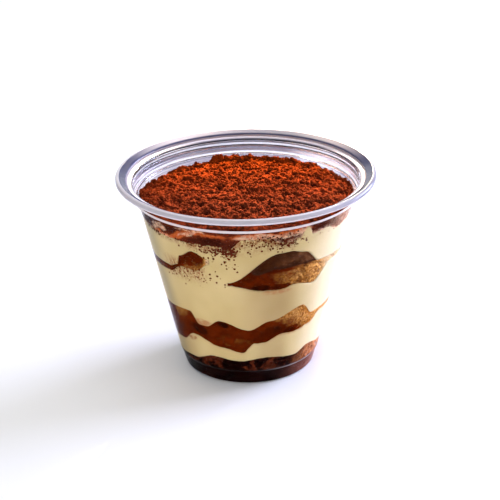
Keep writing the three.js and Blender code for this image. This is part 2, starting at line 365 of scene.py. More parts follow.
milk_and_highlight, dust_and_reflection_streaks, painted_shade_tint, film = shares(bm, "milk_and_highlight", "dust_and_reflection_streaks", "painted_shade_tint", "film")
for vert in bm.verts:
    out = math.hypot(vert.co.x, vert.co.y) / MM
    height = vert.co.z / MM
    around = bearing(vert.co)
    back = ease(abs(around), 66, 90)
    left = ease(around, -158, -140) * ease(around, -85, -100)
    right = ease(around, 30, 70) * ease(around, 160, 130)
    # Partly milky plastic and partly painted highlight: bright lines at the ledge corner and the lid ring at
    # the back, the seat ring, the flange lighter by its bearing, the lip less white at the right, and a
    # painted highlight on the step at the right.
    ledge_corner = 0.9 * back * between(height, CORNER_HEIGHTS)
    lid_ring = 0.7 * back * between(height, RING_HEIGHTS)
    seat = height > 72 and between(out, SEAT_RADII)
    flange = height > 73 and between(out, FLANGE_RADII)
    flange_highlight = flange * (0.55 * ease(abs(around), 100, 150) + 0.3 * ease(abs(around), 50, 0))
    crest = height > 74.5 and between(out, CREST_RADII)
    curl = out > FLANGE_RADII[1]
    curl_end = height < 73.7 and out > 46.3
    lip = max(0.8 * crest, 0.55 * curl, 0.9 * curl_end) * (1 - 0.75 * right)
    step = 0.6 * ease(around, 0, 60) * ease(around, 110, 80) * between(height, STEP_MILK_HEIGHTS)
    vert[milk_and_highlight] = max(ledge_corner, lid_ring, seat, lip, flange_highlight, step)
    vert[film] = (1 - back) * ease(height, 66.6, 67.0) * ease(height, 72.4, 72.2)
    # Painted shade: the sheet darkens on the left, and a little on the right, where it slants away.
    vert[painted_shade_tint] = (ease(around, -25, -50) * ease(around, -170, -120)
                   + 0.2 * ease(around, 30, 50) * ease(around, 170, 120))
    # Painted reflection: bright streaked lines inside the collar at the left and the right.
    vert[dust_and_reflection_streaks] = max(left, 0.9 * right) * ease(height, 64, 66)

# Colour, refraction and roughness of the sheet: nearly invisible against the filling, lilac above it.
wall_sheet = ((0.985, 0.985, 0.99), 1.04, (0.01, 0.03))
collar_sheet = ((0.93, 0.91, 0.95), 1.3, (0.02, 0.05))
# In the thicker parts the colour carries painted light: the rim's dark blue is a painted dark reflection, the
# pale pink band round the collar's bend a painted highlight, and the step's near black a painted shade with a
# painted highlight at the right.
outer_skins = [plastic("clear_wall", *wall_sheet),
               plastic("clear_collar", *collar_sheet),
               milky("rim_milk_and_painted_reflection", (0.045, 0.050, 0.105), 0.2, gloss=0.15),
               milky("bend_painted_highlight", (0.97, 0.88, 0.88), 0.3),
               milky("step_painted_shade_and_highlight", (0.004, 0.001, 0.001), 0.3, gloss=0.02)]
# The inner skins' grey is painted shade, and their pale colour painted highlight and streaked painted
# reflections.
wall_inside = plastic("wall_inside", *wall_sheet, inner_painted_shade=((0.16, 0.12, 0.15), (0.9, 0.85, 0.9)))
collar_inside = plastic("collar_inside", *collar_sheet, inner_painted_shade=((0.055, 0.055, 0.08), (0.84, 0.80, 0.90)))
inner_skins = [wall_inside, collar_inside, outer_skins[ON_RIM], collar_inside, wall_inside]
cup = place(bm, "clear_cup", outer_skins[ON_WALL], "clear_plastic", "cup")
for skin in (*outer_skins[1:], *inner_skins):
    cup.data.materials.append(skin)
thickness = cup.modifiers.new("sheet", "SOLIDIFY")
thickness.thickness = SHEET
thickness.offset = 0
thickness.use_even_offset = True
thickness.material_offset = len(outer_skins)


# ---------------------------------------------------------------------------------------------------------
# Coffee: what drained from the ladyfingers fills the foot of the cup, smooth and nearly black. It lies
# against the plastic, as every layer above it does.

INTO_WALL = 0.08 * MM
COFFEE_LEVEL = 6.3 * MM


def wall_radius(height):
    """How far out the filling lies at a height: against the plastic, and a hair into it."""
    inside = WALL[0][0]
    for (low_radius, low), (high_radius, high) in zip(WALL, WALL[1:]):
        if height > low:
            share = min((height - low) / (high - low), 1)
            inside = low_radius + share * (high_radius - low_radius)
    return inside - SHEET + INTO_WALL


def flat(height):
    """A level boundary, for the layers that have one."""
    return lambda angle, reach: height


def rolled_edge(depth, roll):
    """How far a rounded edge falls back at a depth from its lip."""
    if depth >= roll:
        return 0
    return roll - math.sqrt(max(roll * roll - (roll - depth) ** 2, 0))


def lay(underside, top, steps, rings, rows, roll=0.0, pit=None):
    """A layer of the filling: a grid wrapped round the axis, from the middle of its underside, up its side,
    to the middle of its top. The underside and the top are heights over (angle, reach), with "rings" counts
    of rings. Its edges roll away from the plastic by "roll", and "pit" gives how far each point of its
    side falls short of the plastic."""
    # Rings lie closer together toward the plastic, and rows toward the layer's edges.
    below = [(math.sin(i / rings[0] * math.pi / 2), 0) for i in range(rings[0] + 1)]
    side = [(1, (1 - math.cos(i / rows * math.pi)) / 2) for i in range(1, rows)]
    above = [(1 - (i / rings[1]) ** 1.15, 1) for i in range(rings[1] + 1)]
    outline = below + side + above
    bm = bmesh.new()
    bmesh.ops.create_grid(bm, x_segments=steps, y_segments=len(outline) - 1, size=1)
    for vert in bm.verts:
        angle = round(180 * vert.co.x, 3)
        reach, level = outline[round((vert.co.y + 1) / 2 * (len(outline) - 1))]
        low = underside(angle, reach) if level < 1 else 0
        high = top(angle, reach) if level > 0 else 0
        height = low + level * (high - low)
        radius = reach * wall_radius(height)
        if reach == 1:
            lip = min(height - low, high - height) if 0 < level < 1 else 0
            radius -= rolled_edge(lip, roll)
            if pit:
                radius -= pit(angle, height)
        turn = math.radians(angle)
        vert.co = (radius * math.sin(turn), -radius * math.cos(turn), height)
    close_up(bm)
    return bm


def coffee_finish():
    """Coffee, nearly black, and brown with painted light mostly at the right, where the light reaches through
    it.
    """
    finish = Finish("coffee")
    cloud = finish.pattern(160, detail=3)
    deep = finish.blend(cloud, (0.002, 0.0002, 0.0002), (0.008, 0.001, 0.0007))
    painted_light = finish.blend(cloud, (0.12, 0.034, 0.022), (0.20, 0.065, 0.045))
    finish.join(finish.blend(finish.attribute("painted_light"), deep, painted_light), finish.shader.inputs["Base Color"])
    finish.join(finish.stretch(cloud, 0, 1, 0.12, 0.3), finish.shader.inputs["Roughness"])
    finish.shader.inputs["Specular IOR Level"].default_value = 0.02
    return finish.material


bm = lay(flat(SHEET - INTO_WALL), flat(COFFEE_LEVEL), 192, (6, 6), 12, roll=0.4 * MM)
[painted_light] = shares(bm, "painted_light")
# Painted light: brown at the right, and a little near the surface at the front right.
for vert in bm.verts:
    surface = ease(vert.co.z, COFFEE_LEVEL - 0.8 * MM, COFFEE_LEVEL)
    angle = bearing(vert.co)
    lit = ease(angle, 175, 115)
    vert[painted_light] = lit * (ease(angle, 15, 80) + 0.25 * surface * ease(angle, 0, 30))
place(bm, "coffee_pool", coffee_finish(), "coffee", "coffee_syrup")


# ---------------------------------------------------------------------------------------------------------
# Sponge base: ladyfingers laid first and soaked through, so that they have gone nearly black and crumble
# into lumps against the plastic.

@lru_cache(maxsize=None)
def edge_height(crests, angle):
    """Eases between the crests and dips of an edge, each an angle and a height in millimetres."""
    last_angle, last_height = crests[-1]
    first_angle, first_height = crests[0]
    around = [(last_angle - 360, last_height), *crests, (first_angle + 360, first_height)]
    for (a, low), (b, high) in zip(around, around[1:]):
        if a <= angle <= b:
            return (low + (high - low) * ease(angle, a, b)) * MM


RAGGED_STEPS = 30  # how fine the steps of a boundary are, in steps a radian
MEAN_RADIUS = 35  # the wall's in millimetres, round which the crumb's pattern runs


def boundary(middle, crests, ragged=0.0):
    """A boundary between layers: level on the axis and wavy at the plastic, with small ragged steps."""
    @lru_cache(maxsize=None)
    def at_wall(angle):
        turn = math.radians(angle)
        around = Vector((math.sin(turn), math.cos(turn), middle)) * RAGGED_STEPS
        return edge_height(tuple(crests), angle) + ragged * MM * noise.fractal(around, 0.8, 2.1, 4)

    return lambda angle, reach: middle * MM + (at_wall(angle) - middle * MM) * reach ** 3


sponge_base_top = boundary(10.5, [
    (-165, 10.4), (-125, 12), (-75, 7.3), (-50, 8.7), (-28, 12), (-8, 10.9), (12, 12.2), (38, 10.6),
    (52, 12.9), (70, 11), (100, 9.6), (140, 12.4)], ragged=0.25)


def crumbled(scale, depth):
    """Crumb against the plastic: rounded lumps that touch it, with hollows of that depth between them."""
    def pit(angle, height):
        turn = math.radians(angle)
        spot = Vector((MEAN_RADIUS * math.sin(turn), MEAN_RADIUS * math.cos(turn), height / MM)) / scale
        lumps = noise.turbulence(spot, 3, True, noise_basis="PERLIN_ORIGINAL", amplitude_scale=0.6,
                                 frequency_scale=2.1)
        return depth * MM * ease(lumps, 0.45, 0.15)
    return pit


def soaked_sponge():
    """Sponge soaked nearly black, with reddish lumps, and lighter with painted light at the right."""
    finish = Finish("soaked_sponge")
    lumps = finish.pattern(520, detail=5, rough=0.7)
    chunks = finish.pattern(230, detail=3, low=0.50, high=0.58)
    crumb = finish.blend(lumps, (0.003, 0.0004, 0.0003), (0.014, 0.002, 0.001))
    chunk = finish.blend(lumps, (0.018, 0.003, 0.0015), (0.14, 0.028, 0.010))
    deep = finish.blend(chunks, crumb, chunk)
    painted_light = finish.blend(lumps, (0.14, 0.030, 0.008), (0.48, 0.17, 0.060))
    finish.join(finish.blend(finish.attribute("painted_light"), deep, painted_light), finish.shader.inputs["Base Color"])
    finish.join(finish.stretch(lumps, 0, 1, 0.6, 0.3), finish.shader.inputs["Roughness"])
    finish.shader.inputs["Specular IOR Level"].default_value = 0.01
    finish.bump(lumps, 0.6, 0.0006)
    return finish.material


bm = lay(flat(COFFEE_LEVEL), sponge_base_top, 360, (6, 14), 24, roll=0.1 * MM, pit=crumbled(3.0, 0.3))
[painted_light] = shares(bm, "painted_light")
for vert in bm.verts:
    angle = bearing(vert.co)
    # Painted light: lighter at the right.
    vert[painted_light] = ease(angle, 32, 56) * ease(angle, 175, 115)
place(bm, "soaked_base", soaked_sponge(), "soaked_sponge", "sponge_base")


# ---------------------------------------------------------------------------------------------------------
# Lower cream: a thin layer of mascarpone cream spread over the base, stained tan where coffee has seeped
# out of the sponge above it.

sponge_middle_underside = boundary(17.5, [
    (-160, 20.5), (-110, 15), (-78, 13.6), (-60, 15), (-44, 19.8), (-20, 16.5), (-5, 14.7), (4, 19),
    (10, 19), (24, 22), (33, 21.6), (48, 22.8), (58, 26.1), (80, 25.6), (115, 19), (150, 16.5)], ragged=0.2)


def mascarpone():
    """Whipped cream: yellow, browner with painted shade where its darkening is set and whiter with a painted
    reflection where "pale" is, with cocoa dust and coffee stains where "dust" and "stain" say."""
    finish = Finish("mascarpone")
    cream = finish.shader
    cream.inputs["Subsurface Weight"].default_value = 0.2
    cream.inputs["Subsurface Radius"].default_value = (1.0, 0.75, 0.4)
    cream.inputs["Subsurface Scale"].default_value = 0.002
    cream.inputs["Specular IOR Level"].default_value = 0.1
    curd = finish.pattern(45, detail=2)
    plain = finish.blend(curd, (0.47, 0.345, 0.145), (0.57, 0.435, 0.208))
    dust_and_reflection_streaks = finish.pattern((900, 900, 500), detail=5, rough=0.75, low=0.42, high=0.60)
    dust = finish.times(finish.attribute("dust"), dust_and_reflection_streaks)
    # Painted shade where the darkening is set, and a painted reflection whitening the cream where the pale
    # share is set.
    plain = finish.blend(finish.attribute("darkening"), plain, (0.33, 0.21, 0.090))
    plain = finish.blend(finish.attribute("pale"), plain, (0.58, 0.495, 0.34))
    dusted = finish.blend(dust, plain, (0.22, 0.060, 0.016))
    blots = finish.times(finish.attribute("stain"), finish.pattern(600, low=0.3, high=0.55))
    finish.join(finish.blend(blots, dusted, (0.37, 0.18, 0.072)), cream.inputs["Base Color"])
    finish.join(finish.stretch(curd, 0, 1, 0.35, 0.5), cream.inputs["Roughness"])
    finish.bump(finish.pattern(220, detail=3), 0.15, 0.0003)
    return finish.material


def patched(patches, angle, height):
    """How far a spot on the plastic lies inside the nearest of some soft-edged oval patches, each an angle,
    height, half width and half height, and its tilt in millimetres a degree."""
    share = 0
    for middle, centre, half_width, half_height, tilt in patches:
        across = (angle - middle) / half_width
        up = (height / MM - centre - tilt * (angle - middle)) / half_height
        share = max(share, ease(across * across + up * up, 1.4, 0.6))
    return share


def whiteness(angle):
    """How much whiter the cream is with a painted reflection of the light: only at the right, where the light
    shines into it.
    """
    return 0.6 * ease(angle, 26, 56) * ease(angle, 125, 85)


cream_material = mascarpone()
bm = lay(sponge_base_top, sponge_middle_underside, 480, (14, 14), 30, roll=0.06 * MM)
stain, dust, pale, darkening = shares(bm, "stain", "dust", "pale", "darkening")
for vert in bm.verts:
    angle = bearing(vert.co)
    above = sponge_middle_underside(round(angle, 1), 1) - vert.co.z
    seep = ease(above, 1.0 * MM, 0.1 * MM) * (0.35 + 0.5 * ease(angle, 12, 24) * ease(angle, 60, 50))
    blot = patched([(-48, 17.4, 5.5, 0.9, 0.14)], angle, vert.co.z)
    vert[stain] = max(seep, 0.4 * blot)
    vert[dust] = blot
    # Painted reflection: whiter at the right.
    vert[pale] = whiteness(angle)
    # Painted shade: browner a little right of the front, and round the left side.
    vert[darkening] = (0.4 * ease(angle, 0, 12) * ease(angle, 34, 22)
                  + 0.3 * ease(angle, -34, -50) * ease(angle, -170, -120))
place(bm, "lower_cream", cream_material, "cream", "cream_lower")


# ---------------------------------------------------------------------------------------------------------
# Middle sponge: a thick layer of ladyfingers, wavy where the cream has pushed them about. It is dark where
# coffee has soaked in, and golden and porous where it has stayed dry.

sponge_middle_top = boundary(28, [
    (-170, 30), (-125, 26.2), (-75, 28.2), (-43, 30), (-37, 25.1), (-31, 25.1), (-20, 28.6), (0, 25),
    (14, 28.5), (38, 32.6), (49, 27.4), (75, 27.6), (105, 31), (145, 26.5)], ragged=0.15)


def ladyfinger():
    """Sponge biscuit. Its crumb is golden and porous, with painted shade in its pores, dark where "soak" is
    1, nearly black at 1.5 and pale under 0. Where "skin" is 1 it has a smooth brown skin, with a dark line of
    painted shade along the skin's edge."""
    finish = Finish("ladyfinger")
    soak = finish.attribute("soak")
    pores = finish.pattern(1300, detail=5, rough=0.7, low=0.38, high=0.60)
    patches = finish.pattern(260, detail=4, rough=0.65)
    worn = finish.plus(finish.stretch(patches, 0, 1, -0.2, 0), finish.stretch(pores, 0, 1, -0.06, 0))
    skin = finish.plus(finish.attribute("skin"), worn)
    golden = finish.blend(patches, (0.44, 0.16, 0.026), (0.80, 0.42, 0.12))
    # Painted shade: the crumb is darker in its pores.
    porous = finish.blend(pores, (0.15, 0.040, 0.006), golden)
    soaked = finish.blend(patches, (0.050, 0.0045, 0.0004), (0.15, 0.018, 0.0013))
    grained = finish.blend(finish.stretch(pores, 0, 1, 0.45, 0), soaked, (0.045, 0.005, 0.0008))
    uneven = finish.plus(soak, finish.stretch(patches, 0, 1, -0.25, 0.25))
    crumb = finish.blend(finish.stretch(uneven, 0.1, 0.8, 0, 1), porous, grained)
    crumb = finish.blend(finish.stretch(uneven, 1.1, 1.5, 0, 1), crumb, (0.018, 0.0025, 0.0008))
    crumb = finish.blend(finish.stretch(uneven, -0.15, -0.9, 0, 1), crumb, (0.62, 0.45, 0.25))
    brown = finish.blend(patches, (0.12, 0.043, 0.016), (0.18, 0.072, 0.029))
    browned = finish.blend(soak, brown, (0.038, 0.008, 0.0015))
    crusted = finish.blend(finish.stretch(skin, 0.35, 0.6, 0, 1), crumb, browned)
    # Painted shade: a dark line along the skin's edge.
    painted_crease_shade = finish.least(finish.stretch(skin, 0.1, 0.3, 0, 1), finish.stretch(skin, 0.95, 0.5, 0, 1))
    finish.join(finish.blend(painted_crease_shade, crusted, (0.042, 0.014, 0.007)), finish.shader.inputs["Base Color"])
    finish.join(finish.stretch(pores, 0, 1, 0.7, 0.45), finish.shader.inputs["Roughness"])
    finish.shader.inputs["Specular IOR Level"].default_value = 0
    finish.bump(finish.plus(pores, patches), 0.35, 0.0004)
    return finish.material


ladyfinger_material = ladyfinger()
bm = lay(sponge_middle_underside, sponge_middle_top, 480, (14, 14), 30, roll=0.1 * MM,
         pit=crumbled(2.2, 0.15))
soak, _ = shares(bm, "soak", "skin")
for vert in bm.verts:
    angle = round(bearing(vert.co), 1)
    low = sponge_middle_underside(angle, 1)
    up = (vert.co.z - low) / (sponge_middle_top(angle, 1) - low)
    front_dry = 0.85 * ease((angle - 14) / 26 - (1 - up), -0.35, 0.55) * ease(angle, 110, 85)
    back_dry = 0.8 * (ease(angle, 130, 150) + ease(angle, -120, -145))
    left_dry = 0.55 * ease(angle, -66, -58) * ease(angle, -40, -48) * ease(up, 0.4, 1.0)
    drained = patched([(-10, 19.5, 13, 2.6, -0.06), (52, 26.3, 6, 0.9, 0)], angle, vert.co.z)
    nick = patched([(-18, 26.9, 4, 1.2, -0.1), (-38, 23, 7, 2.2, -0.1), (31, 23.2, 6, 1.2, 0.1)],
                   angle, vert.co.z)
    grainy = patched([(15, 22.5, 11, 3.2, 0.15)], angle, vert.co.z)
    vert[soak] = 1 - front_dry - back_dry - left_dry - 0.15 * drained + 0.5 * nick + 0.25 * grainy
place(bm, "middle_sponge", ladyfinger_material, "sponge", "sponge_middle")


# ---------------------------------------------------------------------------------------------------------
# Upper ladyfingers: two lie against the plastic in the upper cream. The right one shows its side, with a
# dark skin above its crumb; the left one shows its end.

FINGER_LOW = 44.5 * MM
FINGER_HIGH = 55.5 * MM
FINGER_INNER_REACH = 0.25
LEFT_ENDS = (-172, -22)
RIGHT_ENDS = (-12, 164)

left_top = ((-172, 48.8), (-150, 55), (-110, 56), (-72, 47.4), (-52, 47.8), (-45, 49.6), (-41.5, 54),
            (-32, 57.2), (-22, 54.8))
left_underside = ((-172, 47.6), (-140, 45), (-100, 43.6), (-72, 44.8), (-54, 45.4), (-41, 49.6), (-32, 49.2),
                  (-22, 53))
right_top = ((-12, 45.6), (18, 57.3), (25, 57.4), (34, 55.8), (46, 50), (68, 48.8), (112, 56.4), (148, 54.6),
             (164, 48.6))
right_underside = ((-12, 44.6), (10, 42.2), (20, 42), (30, 43), (44, 41.2), (56, 47.2), (68, 47.4),
                   (110, 42.8), (150, 44.4), (164, 47.4))


def finger(ends, underside, top):
    """A finely divided box, bent round the axis between two angles and filled out toward the middle."""
    start, end = ends
    bm = bmesh.new()
    bmesh.ops.create_cube(bm, size=1)
    cuts_along, cuts_inward, cuts_up = 240, 12, 30
    for direction, cuts in enumerate((cuts_along, cuts_inward, cuts_up)):
        edges = [edge for edge in bm.edges
                 if abs((edge.verts[0].co - edge.verts[1].co).normalized()[direction]) > 0.5]
        bmesh.ops.subdivide_edges(bm, edges=edges, cuts=cuts, use_grid_fill=True)
    pit = crumbled(2.2, 0.3)
    for vert in bm.verts:
        along = vert.co.x + 0.5
        outward = 0.5 - vert.co.y
        angle = start + (end - start) * along
        turn = math.radians(angle)
        reach = FINGER_INNER_REACH + (1 - FINGER_INNER_REACH) * outward
        fullness = math.sqrt(max(math.sin(math.pi * along), 0)) * (1 - ease(reach, 0.6, 1))
        low = edge_height(underside, round(angle, 3))
        high = edge_height(top, round(angle, 3))
        low += (FINGER_LOW - low) * fullness
        high += (FINGER_HIGH - high) * fullness
        rounding = math.sqrt(1 - 0.75 * (1 - outward) ** 4)
        height = (low + high) / 2 + (high - low) * rounding * vert.co.z
        radius = reach * wall_radius(height)
        if outward > 0.999:
            radius -= rolled_edge(min(height - low, high - height), 0.1 * MM) + pit(angle, height)
        vert.co = (radius * math.sin(turn), -radius * math.cos(turn), height)
    return bm


bm = finger(LEFT_ENDS, left_underside, left_top)
soak, _ = shares(bm, "soak", "skin")
for vert in bm.verts:
    angle = bearing(vert.co)
    tip = ease(vert.co.z, 52 * MM, 49.6 * MM) * ease(angle, -42, -38) + 0.35 * ease(angle, -46, -56)
    ripe = ease(vert.co.z, 55 * MM, 51.5 * MM) * ease(angle, -42, -36)
    vert[soak] = 0.95 - 0.15 * ripe - 0.45 * tip - 1.7 * ease(angle, -27, -22.5)
place(bm, "left_ladyfinger", ladyfinger_material, "sponge", "finger_left")

# Darker spots along the right one's underside, and a band of painted shade beneath its skin, as patches for
# patched().
DARKER_SPOTS = [(8, 43.6, 6, 1.3, 0), (20, 43.2, 7, 1.0, 0), (34, 44, 4, 0.8, 0), (24, 50.4, 20, 0.9, 0)]

bm = finger(RIGHT_ENDS, right_underside, right_top)
soak, skin = shares(bm, "soak", "skin")
for vert in bm.verts:
    angle = bearing(vert.co)
    border = (48 + 2.2 * ease(angle, 2, 16)) * MM
    darker_spots = patched(DARKER_SPOTS, angle, vert.co.z)
    vert[soak] = 1 - ease(angle, 4, 42) - 0.7 * ease(angle, 44, 54) * ease(angle, 110, 80) + 0.5 * darker_spots
    vert[skin] = ease(vert.co.z, border - 0.6 * MM, border + 2.4 * MM) * ease(angle, -2, 8)
place(bm, "right_ladyfinger", ladyfinger_material, "sponge", "finger_right")


# ---------------------------------------------------------------------------------------------------------
# Upper cream: the deepest layer, spooned in round the upper ladyfingers. Cocoa has been brushed over it
# below the left ladyfinger and along its top edge.

cream_top = boundary(65, [
    (-170, 63.4), (-130, 61.6), (-95, 63), (-64, 60.8), (-48, 60.6), (-15, 60.9), (-10, 60), (-2, 64.2),
    (9, 64.2), (21, 61.4), (29, 62.6), (33.5, 66.4), (37.5, 62.7), (48, 63.1), (56, 60.9), (85, 62.4),
    (120, 60.8), (155, 64)], ragged=0.5)


def clear_of_fingers(angle, height):
    """How far the cream falls short of the plastic where a ladyfinger lies in front of it."""
    short = 0
    for ends, underside, top in ((LEFT_ENDS, left_underside, left_top),
                                 (RIGHT_ENDS, right_underside, right_top)):
        if ends[0] <= angle <= ends[1]:
            low = edge_height(underside, round(angle, 3))
            high = edge_height(top, round(angle, 3))
            inside = min(height - low, high - height)
            short = max(short, 1.2 * MM * ease(inside, -0.2 * MM, 0.6 * MM))
    return short


# Where coffee has seeped into this cream, as patches for patched().
SEEPED = [(-35, 26.4, 9, 1.4, 0), (18, 41.2, 9, 1.0, 0), (58, 48.8, 12, 0.5, 0)]

bm = lay(sponge_middle_top, cream_top, 600, (14, 14), 90, roll=0.06 * MM, pit=clear_of_fingers)
stain, dust, pale, darkening = shares(bm, "stain", "dust", "pale", "darkening")
for vert in bm.verts:
    angle = bearing(vert.co)
    height = vert.co.z / MM
    brushed = ease(angle, -60, -46) * ease(angle, -22, -31) * ease(height, 42.5, 48) * ease(height, 54, 50)
    powdery = ease(angle, -42, -30) * ease(angle, 32, 24) * ease(height, 56, 61.5)
    gathered = patched([(-10.5, 59, 5, 2.4, -0.1), (-22, 60, 9, 1.2, 0)], angle, vert.co.z)
    edge = cream_top(round(angle, 1), 1) - vert.co.z
    fringe = ease(edge, 2.6 * MM, 0.2 * MM) * ease(angle, -66, -58) * ease(angle, 34, 28)
    smudged = patched([(40, 61.6, 3, 0.7, 0.1), (48, 62, 5, 0.8, 0)], angle, vert.co.z)
    torn = patched([(-33, 26, 6, 1.1, 0.05)], angle, vert.co.z)
    vert[dust] = min(brushed + 0.5 * powdery + 0.6 * gathered + 0.7 * fringe + 0.15 * smudged
                     + 0.35 * torn, 1)
    # Painted shade: browner a little right of the front, in the lower part of this cream.
    vert[darkening] = 0.6 * ease(angle, -14, 14) * ease(angle, 40, 20) * ease(height, 58, 46)
    # Painted reflection: whiter at the right.
    vert[pale] = whiteness(angle)
    vert[stain] = patched(SEEPED, angle, vert.co.z)
place(bm, "upper_cream", cream_material, "cream", "cream_upper")


# ---------------------------------------------------------------------------------------------------------
# Cocoa: powder sieved thickly over the cream. It has settled into low mounds and clumps, and has slipped
# down between the cream and the plastic in places.

COCOA_LEVEL = 67.1 * MM
COCOA_CROWN = 0.8 * MM
MOUNDS = 22
MOUND_HEIGHT = 0.75 * MM
MOUND_SPREAD = 5.5 * MM
GOLDEN_ANGLE = 137.508
COCOA_RADIUS = WALL[-1][0]

mounds = []
for i in range(1, MOUNDS + 1):
    turn = math.radians(i * GOLDEN_ANGLE)
    out = COCOA_RADIUS * math.sqrt((i - 0.5) / MOUNDS)
    mounds.append((out * math.sin(turn), -out * math.cos(turn), MOUND_HEIGHT * math.sin(i * 2.4)))


# The powder's lumps: their size in millimetres, how wide they are against it, and their share in the relief.
LUMPS = [(3.4, 0.8, 0.15), (1.7, 0.8, 0.5), (0.8, 0.85, 0.35)]
LUMP_DRIFT = 1.2

# Relief of the powder in millimetres: its low drifts, its lumps, and how far they are sunk into it.
DRIFT_RELIEF = 0.4
LUMP_RELIEF = 2.1
SUNK = 0.95


def crumbs(spot, fill):
    """Domes packed like grains of different heights, "fill" wide against their spacing."""
    distances, centres = noise.voronoi(spot)
    rise = 0.5 + 0.5 * noise.cell(centres[0] * 5)
    return rise * math.sqrt(max(1 - (distances[0] / fill) ** 2, 0))


# Holes left where clumps of powder fell away, and clumps that stand proud: x, y, radius and height, in
# millimetres.
DENTS = [(-22.2, 13.0, 1.8, -1.0), (-30.9, 9.1, 1.5, -0.8), (-15.8, -12.3, 2.2, -1.3),
         (-13.8, -20.0, 2.6, 1.1), (-12.4, -16.6, 1.2, -1.2), (-32.0, -10.4, 2.4, -0.9),
         (8.2, 17.1, 1.6, -0.9), (13.2, 14.3, 1.4, -0.8), (25.6, 3.3, 2.0, -1.0), (33.2, -3.9, 1.7, -0.9),
         (14.4, -6.5, 2.2, -0.7), (2.9, -2.1, 1.9, -0.6), (24.0, 24.0, 2.6, 1.0), (31.5, 16.0, 2.2, 0.9),
         (-11.5, 34.5, 2.4, 1.2), (17.5, 31.5, 2.0, 0.8)]


def grains(x, y):
    """The powder's own relief, 0 to 1: rounded lumps of three sizes with deep gaps between them."""
    spot = Vector((x, y, 0)) / MM
    drift = Vector((noise.noise(spot / 3), noise.noise(spot / 3 + Vector((9, 0, 0))), 0)) * LUMP_DRIFT
    return sum(share * crumbs((spot + drift) / size, fill) for size, fill, share in LUMPS)


def clumps(x, y):
    """Height of the clumped powder over its mounds, with dents and loose clumps among it."""
    spot = Vector((x, y, 0)) / MM
    height = DRIFT_RELIEF * noise.fractal(spot / 6, 0.8, 2.0, 3) + LUMP_RELIEF * grains(x, y) - SUNK
    for dent_x, dent_y, radius, rise in DENTS:
        away = math.hypot(spot.x - dent_x, spot.y - dent_y) / radius
        if away < 1.5:
            height += rise * ease(away + 0.35 * noise.noise(spot / 0.8), 1.1, 0.35)
    return height * MM


# Where the cocoa stops at the plastic, against its level: it has slumped at the back.
cocoa_edge = ((-175, 0.2), (-170, -0.6), (-163, 0.1), (-155, -1.5), (-145, -1.9), (-137, -1.1), (-122, -2.3),
              (-112, -0.9), (-90, -0.2), (0, -0.2), (100, -0.4), (110, -0.9), (121, -1), (128, -2),
              (138, -0.7), (145, -1.4), (150, -0.7), (157, -1.3), (172, -0.6))


def cocoa_surface(x, y):
    """Height of the powder over a spot."""
    out = math.hypot(x, y)
    height = COCOA_LEVEL + COCOA_CROWN * (1 - (out / COCOA_RADIUS) ** 2)
    for mound_x, mound_y, rise in mounds:
        away = ((x - mound_x) ** 2 + (y - mound_y) ** 2) / MOUND_SPREAD ** 2
        if away < 9:
            height += rise * math.exp(-away)
    slump = edge_height(cocoa_edge, round(bearing((x, y)), 1)) * ease(out, 34.5 * MM, 39.5 * MM)
    return height + slump + clumps(x, y)


def cocoa_top(angle, reach):
    """The same over an angle and a reach, for lay()."""
    turn = math.radians(angle)
    radius = reach * wall_radius(COCOA_LEVEL)
    return cocoa_surface(radius * math.sin(turn), -radius * math.cos(turn))


def cocoa_finish():
    """Cocoa powder with painted light: dull at the front and bright toward the back, where the spotlight
    falls, with painted highlights on its grains' tops and painted shade between them. It is dark with painted
    shade in the gaps between its lumps and in patches against the plastic, and dark where specks have
    darkened; orange where "loose" is; and pale with cream where cream has spread on it, with a painted
    reflection at the right."""
    finish = Finish("cocoa_powder")
    cocoa = finish.shader
    cocoa.inputs["Specular IOR Level"].default_value = 0
    grains = finish.pattern(1700, detail=3, rough=0.7, low=0.3, high=0.7)
    drifts = finish.pattern(110, detail=4, rough=0.6)
    depth = finish.add("ShaderNodeSeparateXYZ")
    finish.join(finish.position(), depth.inputs[0])
    # Painted light: brighter toward the back, where the spotlight falls, and duller toward the front.
    back = finish.stretch(depth.outputs["Y"], -0.015, 0.03, 0, 1)
    dull = finish.blend(drifts, (0.115, 0.019, 0.008), (0.20, 0.035, 0.014))
    bright = finish.blend(drifts, (0.19, 0.022, 0.002), (0.31, 0.036, 0.003))
    lit = finish.blend(back, dull, bright)
    # Painted highlight on the tops of the grains.
    lit = finish.blend(finish.stretch(grains, 0.6, 1, 0, 0.4), lit, (0.34, 0.080, 0.012))
    # Painted shade between the grains.
    shaded = finish.blend(finish.stretch(grains, 0, 1, 0.5, 0), lit, (0.035, 0.004, 0.002))
    # Painted shade in the gaps between the lumps.
    painted_gap_shade = finish.blend(finish.attribute("painted_gap_shade"), shaded, (0.03, 0.004, 0.002))
    # Painted shade in patches against the plastic, and the darker colour of the specks.
    pressed_and_shade = finish.blend(finish.attribute("pressed_and_shade"), painted_gap_shade, (0.080, 0.015, 0.007))
    orange = finish.blend(grains, (0.48, 0.075, 0.014), (0.78, 0.17, 0.045))
    loose = finish.blend(finish.attribute("loose"), pressed_and_shade, orange)
    lace = finish.pattern((700, 700, 950), detail=4, rough=0.7, low=0.40, high=0.56)
    # Pale with cream where it has spread, and with a painted reflection at the right.
    smear_and_reflection_share = finish.times(finish.attribute("smear_and_reflection"), finish.stretch(lace, 0, 1, 0.25, 1))
    finish.join(finish.blend(smear_and_reflection_share, loose, (0.87, 0.53, 0.33)), cocoa.inputs["Base Color"])
    finish.join(finish.stretch(grains, 0, 1, 0.95, 0.8), cocoa.inputs["Roughness"])
    finish.bump(grains, 1, 0.0006)
    return finish.material


